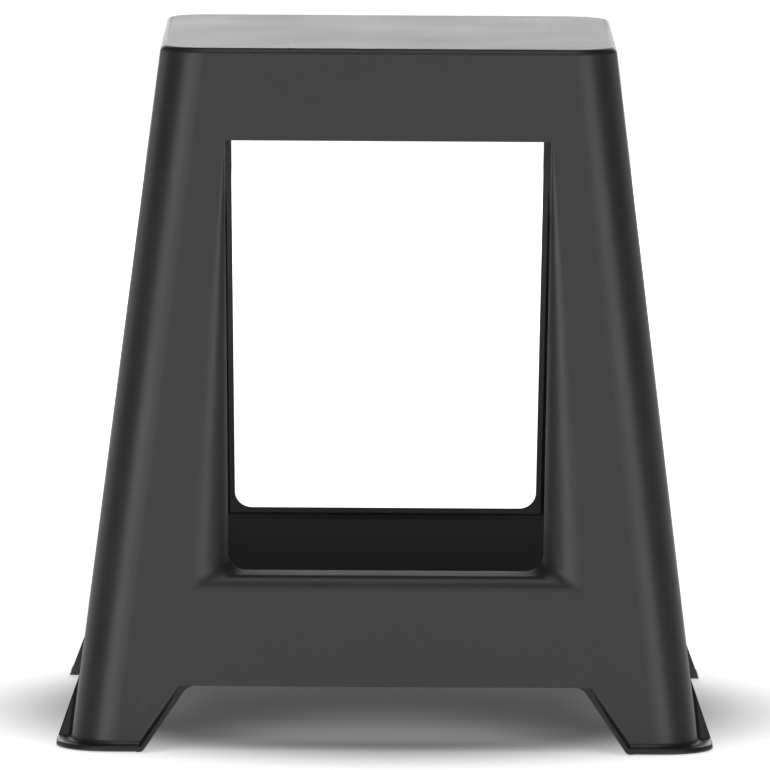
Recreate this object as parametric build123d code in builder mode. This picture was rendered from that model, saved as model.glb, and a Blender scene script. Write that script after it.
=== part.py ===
from build123d import *
from itertools import product
from math import cos, radians, sin, tan
import os

os.makedirs("parts", exist_ok=True)

# A moulded plastic stool: a flat square seat on four flared walls, each with a
# large window, a rail below the window and a cut-out that leaves four feet.
# Soft glides plug into the feet. Millimetres. +Z is up, the floor is z = 0,
# the middle of the base is the origin, and the front wall faces -Y. The four
# walls are alike, and each foot is the mirror image of its neighbours.

# ---- Driving dimensions: the whole stool -----------------------------------
stool_height = 450.0          # floor to seat
seat_width = 295.0            # across the seat, wall to wall
wall_taper = 7.04             # degrees from upright; the walls flare downwards
corner_radius = 29.0          # upright corners, the same at every height
wall = 3.5                    # thickness of the walls and of the window flanges
seat_thickness = 4.5
seat_edge_radius = 4.0        # rounding between the seat and the walls
seat_inner_radius = 3.0       # inside corner below the seat

# ---- Driving dimensions: ribs under the seat -------------------------------
rib_depth = 16.0
rib_thickness = 2.5
rib_pitch = 72.0
rib_count = 3                 # each way

# ---- Driving dimensions: the window in each wall ---------------------------
apron_height = 59.0           # seat to the top edge of the window
ledge_height = 114.2          # floor to the ledge below the window, at the rim
ledge_slope = 11.0            # degrees; the ledge falls outwards
window_top_width = 211.0      # clear width at the top edge
window_side_draft = 0.95      # degrees; the window narrows downwards
window_rim_draft = 3.72       # degrees from upright of the plane of the rim
rim_depth_top = 0.6           # wall to the rim, at the window's top edge
mouth_width_top = 1.5         # width of the rounded sides below the top corners
mouth_width_ledge = 26.2      # the same width at the ledge
window_top_radius = 8.0       # upper corners of the window
ledge_radius = 10.7           # rounding from the wall onto the ledge
window_corner_radius = 12.0   # lower corners of the window

# ---- Driving dimensions: the feet ------------------------------------------
rail_clearance = 42.0         # floor to the lower edge of the rails
foot_gap = 313.0              # gap between the two feet of a wall, at the floor
foot_slant = 35.0             # degrees from upright of the edges of the gap
foot_gap_radius = 10.0        # upper corners of the gap
toe_radius = 4.0              # where a slanted edge meets the floor
lip_overall = 425.2           # across the base, lip to lip
lip_thickness = 3.5
lip_corner_radius = 33.0
fin_thickness = 3.2           # flange along the slanted edges
cove_radius = 3.0             # inside rounding between a lip or fin and a wall
edge_radius = 1.0             # outer edges of the lips and fins

# ---- Driving dimensions: the glides and what holds them --------------------
glide_stand = 0.8             # how far the glides hold the moulding off the floor
glide_diameter = 22.0
glide_head = 4.0              # thickness of a glide's head
glide_edge_radius = 1.0
stem_diameter = 8.0
stem_length = 14.0
stem_clearance = 0.05         # all round, between a stem and its bore
stem_tip_gap = 2.0            # between a stem's tip and the end of its bore
boss_wall = 3.5               # plastic round the bore, and over its end
web_thickness = 3.0           # floor of the foot that carries the boss
web_radius = 24.0
boss_inset = 22.0             # boss centre to the walls, both ways, at the floor

# ---- Working values --------------------------------------------------------
taper = tan(radians(wall_taper))
wall_across = wall / cos(radians(wall_taper))   # a wall, measured horizontally
window_top = stool_height - apron_height
pocket_floor = ledge_height - 2 * ledge_radius
ceiling = stool_height - seat_thickness
bore_radius = stem_diameter / 2 + stem_clearance
bore_end = glide_head + stem_length + stem_tip_gap
lip_top = glide_stand + lip_thickness
core = 0.6 * seat_width / 2   # how near the middle the window cutters reach
clear = 8.0                   # how far a cutter passes the surface that it cuts
bite = 0.3                    # how deep a flange's round runs into the wall
past_rim = 1.1                # how far the rounded sides run, as a share of their depth
least = 0.2                   # smallest depth that a cutter is given
radius_step = 0.006           # a radius is changed by this share where it fails
radius_tries = 8              # as often, up and down
close = 0.01                  # how near an edge lies to where it is looked for
fin_slant = tan(radians(foot_slant))


def half_width(z):
    """Half the distance between two opposite walls, at the height z."""
    return seat_width / 2 + taper * (stool_height - z)


def window_half(z):
    """Half the clear width of a window, at the height z."""
    return window_top_width / 2 - tan(radians(window_side_draft)) * (window_top - z)


def mouth_width(z):
    """Width of the rounding of a window's sides, which grows downwards."""
    share = (z - ledge_height) / (window_top - window_top_radius - ledge_height)
    return mouth_width_ledge + share * (mouth_width_top - mouth_width_ledge)


def rim_reach(z):
    """Distance from the middle of the stool to the plane of a window's rim."""
    at_top = half_width(window_top) - rim_depth_top
    return at_top + tan(radians(window_rim_draft)) * (window_top - z)


def lip_half(z):
    """Half the width across the lips and fins, which lean in to the walls."""
    rise = rail_clearance - glide_stand
    lean = (lip_overall / 2 - half_width(rail_clearance)) / rise
    return lip_overall / 2 - lean * (z - glide_stand)


def lip_corner(z):
    share = (z - glide_stand) / (rail_clearance - glide_stand)
    return lip_corner_radius + share * (corner_radius - lip_corner_radius)


boss_place = half_width(0) - boss_inset
# The flanges fade out where the rim meets the inner face of the leaning wall.
flange_fade = (wall - bite) / cos(radians(wall_taper)) + least - rim_depth_top
flange_top = window_top - flange_fade / (taper - tan(radians(window_rim_draft)))


# ---- Cutters ---------------------------------------------------------------
def window_cutter(grow, top, back_top, back_ledge):
    """The hollow of the front window, from outside the wall to its back.

    grow widens it all round by a wall's thickness, to shape the flange that
    follows the window inside. The back runs from y = -back_top at the height
    top to y = -back_ledge at the ledge.
    """
    slope = radians(ledge_slope)
    lean = radians(wall_taper)
    inset = max(grow - bite, 0) / cos(lean)
    with BuildPart() as cutter:
        # Level sections: straight sides, then a round out to the wall.
        for z in (pocket_floor, top):
            y = half_width(z) - inset
            deep = past_rim * (y - rim_reach(z))
            x = window_half(z) + grow
            wide = mouth_width(z) - grow
            r = (wide**2 + deep**2) / (2 * deep)
            begin = Vector(-wide, deep - r)
            halfway = (begin.normalized() + Vector(0, -1)).normalized() * r
            start = Vector(x, deep - y)
            middle = Vector(x + wide, r - y) + Vector(halfway.X, halfway.Y)
            finish = Vector(x + wide, -y)
            with BuildSketch(Plane.XY.offset(z)):
                with BuildLine():
                    Polyline((start.X, start.Y), (x, -core), (-x, -core), (-start.X, start.Y))
                    ThreePointArc((-start.X, start.Y), (-middle.X, middle.Y), (-finish.X, -y))
                    Polyline(
                        (-finish.X, -y), (-finish.X, -y - clear), (finish.X, -y - clear), (finish.X, -y)
                    )
                    ThreePointArc((finish.X, -y), (middle.X, middle.Y), (start.X, start.Y))
                make_face()
        loft(ruled=True)
        # Side profile: the sloping ledge, and its round down onto the wall.
        rim = rim_reach(ledge_height)
        r = ledge_radius - grow
        fall = tan(slope)
        far = half_width(0) - inset - r / cos(lean)
        height = ledge_height - (grow + r) / cos(slope) - (far - rim) * fall
        height = height / (1 - taper * fall)
        centre = Vector(taper * height - far, height)
        half_turn = (radians(90) - slope + lean) / 2
        on_ledge = centre + Vector(-sin(slope), cos(slope)) * r
        middle = centre + Vector(-cos(half_turn), sin(half_turn)) * r
        on_wall = centre + Vector(-cos(lean), sin(lean)) * r
        outside = on_wall.X - 3 * clear
        back_height = on_ledge.Y + (-back_ledge - on_ledge.X) * fall
        with BuildSketch(Plane.YZ):
            with BuildLine():
                Polyline((-back_top, top), (-back_ledge, back_height), on_ledge)
                ThreePointArc(on_ledge, middle, on_wall)
                Polyline(on_wall, (outside, on_wall.Y), (outside, top), (-back_top, top))
            make_face()
        extrude(amount=seat_width, both=True, mode=Mode.INTERSECT)
    return cutter.part


def gap_outline(toes):
    """The cut-out below a rail, on the plane of a wall; x across, y up."""
    half = foot_gap / 2
    top = half - fin_slant * rail_clearance
    if toes:
        wide = half + 2 * toe_radius
        right = [(top, rail_clearance), (half - fin_slant * glide_stand, glide_stand)]
        right += [(wide, glide_stand), (wide, -clear)]
    else:
        right = [(top, rail_clearance), (half + fin_slant * clear, -clear)]
    return right + [(-x, y) for x, y in reversed(right)]


# Above the mouth's rounding the window has plain sides and rounded corners.
corner_top = window_top - window_top_radius
corner_half = window_half(corner_top)
with BuildPart() as corners:
    with BuildSketch(Plane.XZ) as corner_sketch:
        with Locations((0, corner_top)):
            Rectangle(2 * corner_half, window_top_radius, align=(Align.CENTER, Align.MIN))
        fillet(corner_sketch.vertices().group_by(Axis.Y)[-1], window_top_radius - least)
        with Locations((0, corner_top)):
            Rectangle(seat_width, corner_top, align=(Align.CENTER, Align.MAX))
    extrude(amount=lip_overall)
window = window_cutter(0, window_top, core, core) & corners.part
flange = window_cutter(wall, flange_top, rim_reach(flange_top), rim_reach(ledge_height))

with BuildPart() as gap:
    with BuildSketch(Plane.XZ) as gap_sketch:
        with BuildLine():
            Polyline(*gap_outline(True), close=True)
        make_face()
        fillet(gap_sketch.vertices().group_by(Axis.Y)[-1], foot_gap_radius)
        toes = gap_sketch.vertices().filter_by(
            lambda v: abs(v.Y - glide_stand) < close and abs(v.X) < foot_gap / 2 + toe_radius
        )
        fillet(toes, toe_radius)
    extrude(amount=lip_overall, both=True)

# The inside of the stool, less the window flanges, the ribs and the bosses.
with BuildPart() as inside:
    for z in (-clear, ceiling):
        with BuildSketch(Plane.XY.offset(z)):
            across = 2 * (half_width(z) - wall_across)
            RectangleRounded(across, across, corner_radius - wall)
    loft(ruled=True)
    for turn in range(4):
        add(flange, rotation=(0, 0, 90 * turn), mode=Mode.SUBTRACT)
    fillet(inside.faces().sort_by(Axis.Z)[-1].edges(), seat_inner_radius)
    with Locations((0, 0, ceiling - rib_depth / 2)):
        with GridLocations(rib_pitch, 0, rib_count, 1):
            Box(rib_thickness, seat_width, rib_depth, mode=Mode.SUBTRACT)
        with GridLocations(0, rib_pitch, 1, rib_count):
            Box(seat_width, rib_thickness, rib_depth, mode=Mode.SUBTRACT)
    base = (Align.CENTER, Align.CENTER, Align.MIN)
    boss_radius = bore_radius + boss_wall
    boss_height = bore_end + boss_wall - glide_head
    with Locations((0, 0, glide_head)):
        with GridLocations(2 * boss_place, 2 * boss_place, 2, 2):
            Cylinder(web_radius, web_thickness, align=base, mode=Mode.SUBTRACT)
            Cylinder(boss_radius, boss_height, align=base, mode=Mode.SUBTRACT)

# The fins of the front wall: a band along the slanted edges, out to a leaning
# envelope, with its outer edges rounded.
with BuildPart() as envelope:
    for z in (glide_stand, rail_clearance + clear):
        with BuildSketch(Plane.XY.offset(z)):
            RectangleRounded(2 * lip_half(z), 2 * lip_half(z), lip_corner(z))
    loft(ruled=True)

with BuildPart() as fins:
    with BuildSketch(Plane.XZ.offset(half_width(rail_clearance) - wall)) as band_sketch:
        with BuildLine():
            Polyline(*gap_outline(False), close=True)
        make_face()
        fillet(band_sketch.vertices().group_by(Axis.Y)[-1], foot_gap_radius)
        offset(amount=fin_thickness)
    extrude(amount=4 * clear)
    add(envelope.part, mode=Mode.INTERSECT)
    fin_edges = fins.faces().sort_by(Axis.Y)[0].edges().filter_by(
        lambda e: e.bounding_box().size.Z > edge_radius
    )
    fillet(fin_edges, edge_radius)

# The cove between a fin and the wall: a bar with a hollow face along the root
# of the right-hand fin of the front wall.
fin_back = foot_gap / 2 + fin_thickness / cos(radians(foot_slant))
root_low = Vector(fin_back, -half_width(0), 0)
root_high = Vector(fin_back - fin_slant * rail_clearance, -half_width(rail_clearance), rail_clearance)
root = root_high - root_low
outward = Vector(0, -cos(radians(wall_taper)), sin(radians(wall_taper)))
along_wall = root.cross(outward).normalized()
along_fin = Vector(0, -1, 0) - root * (Vector(0, -1, 0).dot(root) / root.dot(root))
root_angle = radians(along_wall.get_angle(along_fin))
reach = cove_radius / tan(root_angle / 2)
sunk = fin_thickness / 2
with BuildPart() as cove_bar:
    with BuildSketch(Plane(origin=root_high, x_dir=along_wall, z_dir=root * -1)):
        on_wall = Vector(reach, 0)
        on_fin = Vector(cos(root_angle), sin(root_angle)) * reach
        halfway = Vector(cos(root_angle / 2), sin(root_angle / 2))
        hollow = halfway * (cove_radius / sin(root_angle / 2) - cove_radius)
        with BuildLine():
            ThreePointArc(on_wall, hollow, on_fin)
            Polyline(on_fin, on_fin - (sunk, 0), (-sunk, -sunk), on_wall - (0, sunk), on_wall)
        make_face()
    extrude(amount=root.length - glide_stand / cos(radians(foot_slant)))
bar = cove_bar.part & envelope.part
bars = bar + bar.mirror(Plane.YZ)

# ---- The moulding ----------------------------------------------------------
def rounded(body, edges, radius):
    """The body with the edges rounded, at the radius or as close to it as works."""
    for step in range(2 * radius_tries):
        share = 1 + radius_step * ((step + 1) // 2) * (-1) ** step
        try:
            result = body.fillet(radius * share, edges)
        except ValueError:
            continue
        if result.is_valid and len(result.solids()) == 1:
            return result
    raise ValueError("no radius close to the stated one works")


def window_creases(body, right, rear, sideways):
    """The edges of one lower window corner: which side, and on which wall."""
    inner = window_half(ledge_height) - wall
    outer = inner + mouth_width_ledge
    found = []
    for edge in body.edges():
        x, y = edge.center().X, edge.center().Y
        box = edge.bounding_box()
        across, out = sorted((abs(x), abs(y)))
        if (x > 0, y > 0, abs(x) > abs(y)) != (right, rear, sideways):
            continue
        if not (inner < across < outer and out > rim_reach(ledge_height)):
            continue
        if ledge_height - wall < box.max.Z < ledge_height + 1 and min(box.size.X, box.size.Y) > 1:
            found.append(edge)
    return found


with BuildPart() as stool_body:
    for z in (glide_stand, stool_height):
        with BuildSketch(Plane.XY.offset(z)):
            RectangleRounded(2 * half_width(z), 2 * half_width(z), corner_radius)
    loft(ruled=True)
    fillet(stool_body.faces().sort_by(Axis.Z)[-1].edges(), seat_edge_radius)
    # The lip round the base, with its cove.
    for z in (glide_stand, lip_top):
        with BuildSketch(Plane.XY.offset(z)):
            RectangleRounded(2 * lip_half(z), 2 * lip_half(z), lip_corner(z))
    loft(ruled=True)
    lip_edges = stool_body.edges().filter_by(
        lambda e: min(abs(e.center().Z - lip_top), abs(e.center().Z - glide_stand)) < close
        and max(abs(e.center().X), abs(e.center().Y)) > half_width(0) + edge_radius
    )
    fillet(lip_edges, edge_radius)
    lip_root = stool_body.edges().filter_by(
        lambda e: abs(e.center().Z - lip_top) < close
        and max(abs(e.center().X), abs(e.center().Y)) < half_width(lip_top) + close
    )
    fillet(lip_root, cove_radius)
    for turn in range(4):
        add(fins.part, rotation=(0, 0, 90 * turn))
        add(bars, rotation=(0, 0, 90 * turn))
    add(inside.part, mode=Mode.SUBTRACT)
    for turn in range(4):
        add(window, rotation=(0, 0, 90 * turn), mode=Mode.SUBTRACT)
    for turn in range(2):
        add(gap.part, rotation=(0, 0, 90 * turn), mode=Mode.SUBTRACT)
    with GridLocations(2 * boss_place, 2 * boss_place, 2, 2):
        Cylinder(bore_radius, bore_end, align=base, mode=Mode.SUBTRACT)
    # The lower corners of the windows, where the sides meet the ledge. Each is
    # rounded by itself, because its rounding fades to nothing on the wall.
    for right, rear, sideways in product((False, True), repeat=3):
        creases = window_creases(stool_body, right, rear, sideways)
        add(rounded(stool_body.part, creases, window_corner_radius), mode=Mode.REPLACE)

stool_body.part.label = "stool_body"
export_step(stool_body.part, "parts/stool_body.step")

# ---- The glides ------------------------------------------------------------
places = {
    "glide_front_left": (-boss_place, -boss_place),
    "glide_front_right": (boss_place, -boss_place),
    "glide_rear_left": (-boss_place, boss_place),
    "glide_rear_right": (boss_place, boss_place),
}
for name, (x, y) in places.items():
    with BuildPart(Plane((x, y, 0))) as glide:
        Cylinder(glide_diameter / 2, glide_head, align=base)
        fillet(glide.faces().sort_by(Axis.Z)[0].edges(), glide_edge_radius)
        with Locations((0, 0, glide_head)):
            Cylinder(stem_diameter / 2, stem_length, align=base)
        chamfer(glide.faces().sort_by(Axis.Z)[-1].edges(), glide_edge_radius)
    glide.part.label = name
    export_step(glide.part, f"parts/{name}.step")
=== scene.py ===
# %% [markdown]
# # A moulded plastic stool
#
# The real stool is one injection moulding in black polypropylene: a flat seat on
# four flared walls with a window in each, on four soft glides. Its whole shape
# comes from the CAD frame, where every surface is exact, so nothing is modelled
# twice here. What is left is what a mould and years of use give such a stool:
#
# - the grain that the mould's etched steel leaves on the outside,
# - the smoother inside, where the core of the mould was only polished,
# - edges that catch the light, fine scratches on the seat, a little dust,
# - and soft studio light, which is what shows the rounded corners at all.
#
# Everything is in metres, with +Z up and the front towards -Y.

# %% Load the frame
import bpy
from math import cos, pi, radians, sin, tan
from mathutils import Matrix, Vector


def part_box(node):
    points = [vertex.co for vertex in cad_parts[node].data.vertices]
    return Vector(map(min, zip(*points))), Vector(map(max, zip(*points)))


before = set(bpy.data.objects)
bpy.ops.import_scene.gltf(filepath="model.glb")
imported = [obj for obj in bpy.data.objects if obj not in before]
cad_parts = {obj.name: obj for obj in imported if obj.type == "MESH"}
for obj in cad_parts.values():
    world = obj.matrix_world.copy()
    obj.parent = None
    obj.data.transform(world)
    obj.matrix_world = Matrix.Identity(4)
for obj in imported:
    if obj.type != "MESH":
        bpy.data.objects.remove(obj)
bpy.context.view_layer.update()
print("nodes:", ", ".join(sorted(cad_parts)))
for name, node in sorted(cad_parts.items()):
    print(f"  {name}: {len(node.data.polygons)} faces, custom normals {node.data.has_custom_normals}")

# %% [markdown]
# ## Sizes that the surface needs
#
# The finish changes with the place: grain on the outside, none on the inside,
# pin marks on the ceiling below the seat. The node trees find those places from
# Object coordinates, so a few sizes are read from the boxes of the CAD nodes
# instead of being typed in again.

# %% Sizes
low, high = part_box("stool_body")
seat_height = high[2]
seat_thickness = 0.0045
ceiling = seat_height - seat_thickness
seat_half = 0.1475            # middle of the stool to a wall, at the seat
wall_slope = tan(radians(7.04))
pin_pitch = 0.036             # pin marks stand between ribs 0.072 apart
pin_radius = 0.0045
print(f"seat at {seat_height:.4f}, ceiling at {ceiling:.4f}, base {high[0] - low[0]:.4f} across")

# %% [markdown]
# ## Small helpers for node trees
#
# A node tree written out link by link is long and hard to follow. These helpers
# add one node, set its constants and link its inputs, so each line below reads
# like a formula. A value that is a socket is linked, anything else is stored.

# %% Node helpers
def add_node(tree, kind, settings=None, **inputs):
    """Add a node; settings are its properties, inputs are sockets or constants."""
    node = tree.nodes.new(kind)
    for key, value in (settings or {}).items():
        setattr(node, key, value)
    for key, value in inputs.items():
        place = int(key[1:]) if key[0] == "i" and key[1:].isdigit() else key.replace("_", " ")
        if isinstance(value, bpy.types.NodeSocket):
            tree.links.new(value, node.inputs[place])
        else:
            node.inputs[place].default_value = value
    return node


def formula(tree, operation, *values, clamp=False):
    """One arithmetic step, as the socket that holds its result."""
    settings = {"operation": operation, "use_clamp": clamp}
    inputs = {f"i{index}": value for index, value in enumerate(values)}
    return add_node(tree, "ShaderNodeMath", settings, **inputs).outputs[0]


def ramp(tree, value, start, end, at_start=0.0, at_end=1.0):
    """Map start..end smoothly onto at_start..at_end."""
    settings = {"interpolation_type": "SMOOTHSTEP"}
    limits = {"From_Min": start, "From_Max": end, "To_Min": at_start, "To_Max": at_end}
    return add_node(tree, "ShaderNodeMapRange", settings, Value=value, **limits).outputs[0]


def blend(tree, factor, first, second):
    """Mix two colours."""
    node = tree.nodes.new("ShaderNodeMix")
    node.data_type = "RGBA"
    for place, value in ((0, factor), (6, first), (7, second)):
        if isinstance(value, bpy.types.NodeSocket):
            tree.links.new(value, node.inputs[place])
        else:
            node.inputs[place].default_value = value
    return node.outputs[2]


def new_group(name, inputs, outputs):
    """An empty shader node group, with its input and output nodes."""
    tree = bpy.data.node_groups.new(name, "ShaderNodeTree")
    for label, default in inputs.items():
        socket = tree.interface.new_socket(label, in_out="INPUT", socket_type="NodeSocketFloat")
        socket.default_value = default
    for label, kind in outputs.items():
        tree.interface.new_socket(label, in_out="OUTPUT", socket_type=kind)
    return tree, tree.nodes.new("NodeGroupInput"), tree.nodes.new("NodeGroupOutput")


def use_group(tree, group, **inputs):
    """Put a group into a tree, and give its outputs."""
    return add_node(tree, "ShaderNodeGroup", {"node_tree": group}, **inputs).outputs


VALUE, VECTOR = "NodeSocketFloat", "NodeSocketVector"

# %% [markdown]
# ## Moulded grain
#
# The outside of such a stool is never mirror smooth. The mould is spark eroded or
# etched, which leaves a field of tiny rounded pits about half a millimetre
# across. It could be a displacement map, but at 20 thousandths of a millimetre
# deep it never shows in the outline, so a height for the bump node is enough.
# Two sizes of noise are mixed, because a single one looks like orange peel.

# %% Grain group
grain, start, end = new_group("moulded_grain", {"Size": 0.0006}, {"Height": VALUE, "Cloud": VALUE})
place = grain.nodes.new("ShaderNodeTexCoord").outputs["Object"]
frequency = formula(grain, "DIVIDE", 1.0, start.outputs["Size"])
pits = add_node(grain, "ShaderNodeTexVoronoi", {"feature": "SMOOTH_F1"}, Vector=place, Scale=frequency)
pits.inputs["Smoothness"].default_value = 0.6
coarse = formula(grain, "MULTIPLY", frequency, 0.35)
waves = add_node(grain, "ShaderNodeTexNoise", {}, Vector=place, Scale=coarse, Detail=3.0, Roughness=0.6)
height = formula(grain, "MULTIPLY_ADD", waves.outputs["Fac"], 0.8, pits.outputs["Distance"])
grain.links.new(height, end.inputs["Height"])
# Clouds 40 to 120 mm wide: the plastic cools and shines a little unevenly.
cloud = add_node(grain, "ShaderNodeTexNoise", {}, Vector=place, Scale=11.0, Detail=2.5, Roughness=0.55)
grain.links.new(cloud.outputs["Fac"], end.inputs["Cloud"])
print("grain group:", len(grain.nodes), "nodes")

# %% [markdown]
# ## Edges
#
# A mould has no perfectly sharp edge, and hands polish what there is. The bevel
# node looks at the faces close to a point and returns a normal that turns
# smoothly over the edge. Where that normal differs from the true one there is an
# edge, so the same node gives both the soft highlight and a mask for wear.

# %% Edge group
edges, start, end = new_group("soft_edges", {"Radius": 0.0006}, {"Normal": VECTOR, "Mask": VALUE})
bevel = add_node(edges, "ShaderNodeBevel", {"samples": 6}, Radius=start.outputs["Radius"])
soft_normal = bevel.outputs[0]
true_normal = edges.nodes.new("ShaderNodeNewGeometry").outputs["Normal"]
agree = add_node(edges, "ShaderNodeVectorMath", {"operation": "DOT_PRODUCT"}, i0=soft_normal, i1=true_normal)
turned = formula(edges, "SUBTRACT", 1.0, agree.outputs["Value"])
edges.links.new(soft_normal, end.inputs["Normal"])
edges.links.new(ramp(edges, turned, 0.01, 0.12), end.inputs["Mask"])
print("edge group:", len(edges.nodes), "nodes")

# %% [markdown]
# ## Scratches
#
# A seat that people sit and stand on gathers hair-thin scratches in every
# direction, and feet and furniture leave short ones low on the walls. Each layer
# here is noise stretched along one direction, of which only the narrow crests
# are kept. Three layers turned against each other look random enough. They
# change the roughness and hardly the colour, as fine scratches in plastic do.

# %% Scratch group
scratches, start, end = new_group("fine_scratches", {"Amount": 1.0}, {"Mask": VALUE})
directions = ((0.4, 9.0, 900.0), (1.5, 14.0, 1300.0), (2.5, 7.0, 700.0))
place = scratches.nodes.new("ShaderNodeTexCoord").outputs["Object"]
total = 0.0
for turn, length, width in directions:
    about_z = {"rotation_type": "Z_AXIS"}
    turned = add_node(scratches, "ShaderNodeVectorRotate", about_z, Vector=place, Angle=turn)
    stretched = add_node(scratches, "ShaderNodeVectorMath", {"operation": "MULTIPLY"}, i0=turned.outputs[0])
    stretched.inputs[1].default_value = (length, width, length)
    noise = add_node(scratches, "ShaderNodeTexNoise", {}, Vector=stretched.outputs[0], Scale=1.0, Detail=1.0)
    crest = ramp(scratches, noise.outputs["Fac"], 0.70, 0.78)
    total = formula(scratches, "ADD", total, crest, clamp=True)
patches = add_node(scratches, "ShaderNodeTexNoise", {}, Vector=place, Scale=16.0, Detail=2.0)
total = formula(scratches, "MULTIPLY", total, ramp(scratches, patches.outputs["Fac"], 0.42, 0.62))
scratches.links.new(formula(scratches, "MULTIPLY", total, start.outputs["Amount"]), end.inputs["Mask"])
print("scratch group:", len(scratches.nodes), "nodes")

# %% [markdown]
# ## Where on the stool
#
# One group answers the questions that the finish asks: is this point on the
# outside or in the hollow, does it face up, and is it on the ceiling inside a
# pin mark? The outside is found by comparing the distance from the middle with
# the leaning wall at that height, as the wall's own equation gives it.

# %% Place group
answers = {"Outside": VALUE, "Facing_up": VALUE, "Seat": VALUE, "Pin_mark": VALUE, "Low": VALUE}
places, start, end = new_group("places_on_the_stool", {}, answers)
point = places.nodes.new("ShaderNodeTexCoord").outputs["Object"]
normal = places.nodes.new("ShaderNodeNewGeometry").outputs["Normal"]
x, y, z = add_node(places, "ShaderNodeSeparateXYZ", {}, Vector=point).outputs
rise = add_node(places, "ShaderNodeSeparateXYZ", {}, Vector=normal).outputs[2]
across = formula(places, "MAXIMUM", formula(places, "ABSOLUTE", x), formula(places, "ABSOLUTE", y))
drop = formula(places, "SUBTRACT", seat_height, z)
wall_here = formula(places, "MULTIPLY_ADD", drop, wall_slope, seat_half)
depth = formula(places, "SUBTRACT", wall_here, across)
outward = add_node(places, "ShaderNodeVectorMath", {"operation": "DOT_PRODUCT"}, i0=normal, i1=point)
faces_out = formula(places, "GREATER_THAN", outward.outputs["Value"], 0.0)
near_wall = ramp(places, depth, 0.030, 0.0015)
up = ramp(places, rise, 0.35, 0.9)
outside = formula(places, "MULTIPLY", near_wall, faces_out)
seat = formula(places, "MULTIPLY", up, ramp(places, z, seat_height - 0.006, seat_height - 0.001))
places.links.new(formula(places, "MAXIMUM", outside, seat), end.inputs["Outside"])
places.links.new(up, end.inputs["Facing_up"])
places.links.new(seat, end.inputs["Seat"])
places.links.new(ramp(places, z, 0.09, 0.01), end.inputs["Low"])
# Ejector pins push the moulding off its core and leave round marks in a grid.
cell = []
for along in (x, y):
    shifted = formula(places, "ADD", along, pin_pitch)
    folded = formula(places, "PINGPONG", shifted, pin_pitch)
    cell.append(formula(places, "POWER", folded, 2.0))
from_pin = formula(places, "SQRT", formula(places, "ADD", *cell))
pin_edge = 0.0002
disc = ramp(places, from_pin, pin_radius + pin_edge, pin_radius - pin_edge)
down = ramp(places, rise, -0.8, -0.95)
on_ceiling = formula(places, "MULTIPLY", down, ramp(places, z, ceiling - 0.002, ceiling - 0.001))
places.links.new(formula(places, "MULTIPLY", disc, on_ceiling), end.inputs["Pin_mark"])
print("place group:", len(places.nodes), "nodes")

# %% [markdown]
# ## Black plastic
#
# Polypropylene filled with carbon black is nearly black in itself: what is seen
# is light that its surface reflects, dim and wide when looked at squarely and
# strong at a glancing angle, which is why the seat looks pale grey and the walls
# look almost black. So the colour stays low and even, and the work is done by
# the roughness: grained outside, smoother inside, a little brighter where edges
# and scratches are polished, duller where dust lies in corners.

# %% Black plastic
def principled(name):
    material = bpy.data.materials.new(name)
    material.use_nodes = True
    return material, material.node_tree, material.node_tree.nodes["Principled BSDF"]


black_plastic, tree, shader = principled("black_polypropylene")
where = use_group(tree, places)
surface = use_group(tree, grain)
worn = use_group(tree, edges, Radius=0.0006)
scratched = use_group(tree, scratches)

# Dust settles on what faces up and stays in the corners.
corner = add_node(tree, "ShaderNodeAmbientOcclusion", {"samples": 6}, Distance=0.02)
sheltered = ramp(tree, corner.outputs["AO"], 0.85, 0.35)
specks = add_node(tree, "ShaderNodeTexNoise", {}, Scale=420.0, Detail=4.0, Roughness=0.7)
tree.links.new(tree.nodes.new("ShaderNodeTexCoord").outputs["Object"], specks.inputs["Vector"])
powder = ramp(tree, specks.outputs["Fac"], 0.45, 0.75)
lies = formula(tree, "MULTIPLY", where["Facing_up"], sheltered)
dust = formula(tree, "MULTIPLY", formula(tree, "MULTIPLY", lies, powder), 0.25)

colour = blend(tree, surface["Cloud"], (0.0105, 0.0105, 0.0110, 1), (0.0140, 0.0138, 0.0138, 1))
colour = blend(tree, formula(tree, "MULTIPLY", worn["Mask"], 0.5), colour, (0.022, 0.022, 0.022, 1))
rubbed = formula(tree, "MULTIPLY", scratched["Mask"], formula(tree, "MAXIMUM", where["Seat"], where["Low"]))
colour = blend(tree, formula(tree, "MULTIPLY", rubbed, 0.35), colour, (0.030, 0.030, 0.030, 1))
colour = blend(tree, dust, colour, (0.11, 0.105, 0.10, 1))
tree.links.new(colour, shader.inputs["Base Color"])

rough = formula(tree, "MULTIPLY_ADD", where["Outside"], 0.06, 0.36)
rough = formula(tree, "MULTIPLY_ADD", formula(tree, "SUBTRACT", surface["Cloud"], 0.5), 0.10, rough)
rough = formula(tree, "MULTIPLY_ADD", worn["Mask"], -0.04, rough)
rough = formula(tree, "MULTIPLY_ADD", rubbed, -0.09, rough)
rough = formula(tree, "MULTIPLY_ADD", where["Pin_mark"], -0.08, rough)
rough = formula(tree, "MULTIPLY_ADD", dust, 0.5, rough, clamp=True)
tree.links.new(rough, shader.inputs["Roughness"])

# Heights in metres: pits of the grain, grooves of the scratches, the pin marks.
grain_height, scratch_depth, pin_depth = 0.000016, 0.000008, 0.00015
grained = formula(tree, "MULTIPLY_ADD", where["Outside"], 0.8, 0.2)
relief = formula(tree, "MULTIPLY", formula(tree, "MULTIPLY", surface["Height"], grained), grain_height)
relief = formula(tree, "MULTIPLY_ADD", rubbed, -scratch_depth, relief)
relief = formula(tree, "MULTIPLY_ADD", where["Pin_mark"], -pin_depth, relief)
bump = add_node(tree, "ShaderNodeBump", {}, Height=relief, Normal=worn["Normal"], Strength=1.0, Distance=1.0)
tree.links.new(bump.outputs[0], shader.inputs["Normal"])
shader.inputs["IOR"].default_value = 1.5
print("black plastic:", len(tree.nodes), "nodes")

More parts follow.
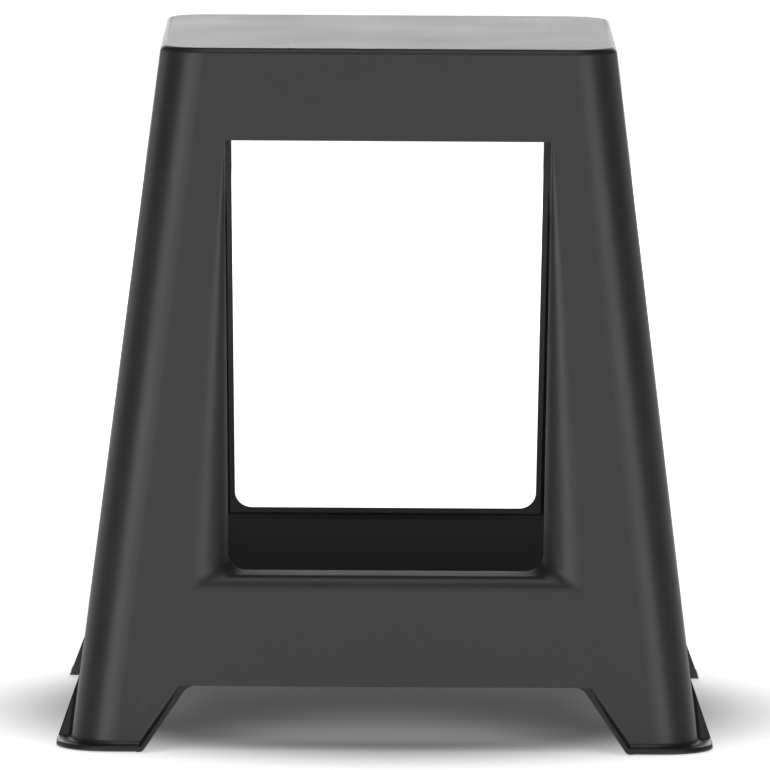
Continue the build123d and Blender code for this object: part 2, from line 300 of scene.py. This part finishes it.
# %% [markdown]
# ## Glide rubber
#
# The glides are a soft thermoplastic rubber that grips the floor. It is duller
# than the stool, slightly grey where it is scuffed, and its grain is coarser.
# It only shows at the floor and from below, but it is finished like the rest.

# %% Glide rubber
glide_rubber, tree, shader = principled("glide_rubber")
surface = use_group(tree, grain, Size=0.0009)
worn = use_group(tree, edges, Radius=0.0005)
colour = blend(tree, surface["Cloud"], (0.016, 0.016, 0.016, 1), (0.026, 0.025, 0.024, 1))
colour = blend(tree, worn["Mask"], colour, (0.05, 0.048, 0.046, 1))
tree.links.new(colour, shader.inputs["Base Color"])
rough = formula(tree, "MULTIPLY_ADD", surface["Cloud"], 0.15, 0.62)
tree.links.new(rough, shader.inputs["Roughness"])
rubber_grain_height = 0.00003
relief = formula(tree, "MULTIPLY", surface["Height"], rubber_grain_height)
bump = add_node(tree, "ShaderNodeBump", {}, Height=relief, Normal=worn["Normal"], Strength=1.0, Distance=1.0)
tree.links.new(bump.outputs[0], shader.inputs["Normal"])
shader.inputs["IOR"].default_value = 1.48
print("glide rubber:", len(tree.nodes), "nodes")

# %% Put the materials on
for name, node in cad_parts.items():
    finish = glide_rubber if name.startswith("glide") else black_plastic
    if not node.data.materials:
        node.data.materials.append(finish)
    for slot in range(len(node.data.materials)):
        node.data.materials[slot] = finish
    print(f"{name}: {finish.name}")

# %% [markdown]
# ## Floor
#
# A white sweep, as in a photographer's studio: one disc so wide that every
# camera looking down sees nothing else. Such a sweep is lit by its own lamps
# behind the object until it is plain white. Here the floor glows by itself,
# except below the stool, so that it doesn't light the hollow of the stool.

# %% Floor
floor_radius = 30.0
rim_points = 96
turns = [2 * pi * index / rim_points for index in range(rim_points)]
rim = [(floor_radius * cos(turn), floor_radius * sin(turn), 0.0) for turn in turns]
mesh = bpy.data.meshes.new("floor")
mesh.from_pydata(rim, [], [range(rim_points)])
floor = bpy.data.objects.new("floor", mesh)
bpy.context.scene.collection.objects.link(floor)

floor_white, tree, shader = principled("white_sweep")
place = tree.nodes.new("ShaderNodeTexCoord").outputs["Object"]
fibres = add_node(tree, "ShaderNodeTexNoise", {}, Vector=place, Scale=240.0, Detail=3.0)
white = blend(tree, fibres.outputs["Fac"], (0.84, 0.84, 0.84, 1), (0.88, 0.88, 0.88, 1))
tree.links.new(white, shader.inputs["Base Color"])
# The glow is full behind the stool, a fifth weaker in front, and gone below it.
to_rear = add_node(tree, "ShaderNodeSeparateXYZ", {}, Vector=place).outputs[1]
from_middle = add_node(tree, "ShaderNodeVectorMath", {"operation": "LENGTH"}, i0=place).outputs["Value"]
behind = ramp(tree, to_rear, 0.15, 1.4, 0.8, 1.0)
around = ramp(tree, from_middle, 0.16, 0.32)
tree.links.new(formula(tree, "MULTIPLY", behind, around), shader.inputs["Emission Strength"])
shader.inputs["Emission Color"].default_value = (1, 1, 1, 1)
shader.inputs["Roughness"].default_value = 0.9
shader.inputs["Specular IOR Level"].default_value = 0.0
mesh.materials.append(floor_white)

# %% [markdown]
# ## Light
#
# Black plastic shows the room more than its own colour, so the lamps are placed
# by what they draw on the stool. Two boxes, one each side of the camera, put the
# soft bright line along each rounded corner, and weaker ones between them light
# the walls. The sides of the room stay dark, and that is the dark band outside
# each line. A box overhead lights the ledges and the tops of the feet. Boxes
# behind the stool make the thin bright rims, and a low wide one is what the seat
# reflects. A box is described by its azimuth (0 is in front, towards +X), its
# elevation, its size in metres, and its radiance.

# %% Light
scene = bpy.context.scene
middle = Vector((0, 0, 0.22))
lamp_distance = 4.0
boxes = {
    "left_box": (-34, 9, (1.8, 1.25), 5.0),
    "right_box": (34, 9, (1.8, 1.25), 4.3),
    "left_fill": (-15, 9, (0.85, 1.25), 2.1),
    "right_fill": (15, 9, (0.85, 1.25), 1.75),
    "front_fill": (0, 9, (1.25, 1.25), 0.93),
    "front_high_box": (0, 58, (2.7, 1.9), 0.85),
    "top_box": (0, 80, (1.1, 1.1), 4.7),
    "left_rear_box": (-122, 9, (1.7, 1.25), 0.76),
    "right_rear_box": (122, 9, (1.7, 1.25), 0.4),
    "rear_low_box": (180, 9, (3.3, 1.0), 3.8),
    "rear_high_box": (180, 27, (3.6, 1.5), 0.74),
}
for name, (azimuth, elevation, size, radiance) in boxes.items():
    turn, rise = radians(azimuth), radians(elevation)
    toward = Vector((sin(turn) * cos(rise), -cos(turn) * cos(rise), sin(rise)))
    lamp = bpy.data.lights.new(name, "AREA")
    lamp.shape = "RECTANGLE"
    lamp.size, lamp.size_y = size
    lamp.energy = radiance * pi * size[0] * size[1]
    holder = bpy.data.objects.new(name, lamp)
    scene.collection.objects.link(holder)
    holder.location = middle + toward * lamp_distance
    holder.rotation_euler = (-toward).to_track_quat("-Z", "Y").to_euler()
    holder.visible_camera = False

world = bpy.data.worlds.new("studio")
world.use_nodes = True
room = world.node_tree.nodes["Background"]
room.inputs["Color"].default_value = (1, 1, 1, 1)
room.inputs["Strength"].default_value = 0.05
scene.world = world
scene.view_settings.view_transform = "Standard"
print(len(boxes), "softboxes")

# %% [markdown]
# ## Camera
#
# A long lens far away, almost square to the front wall and a little above the
# seat, so the seat shows as a thin band and opposite edges look parallel.

# %% Camera
lens = bpy.data.cameras.new("camera")
lens.lens = 529.6
lens.sensor_width = 36.0
lens.clip_end = 100.0
camera = bpy.data.objects.new("camera", lens)
scene.collection.objects.link(camera)
standpoint = (-0.0100, -7.4316, 1.0190)
pan, look_down, roll = -0.00122, 0.1076, 0.0060
camera.matrix_world = (
    Matrix.Translation(standpoint)
    @ Matrix.Rotation(pan, 4, "Z")
    @ Matrix.Rotation(pi / 2 - look_down, 4, "X")
    @ Matrix.Rotation(roll, 4, "Z")
)
scene.camera = camera
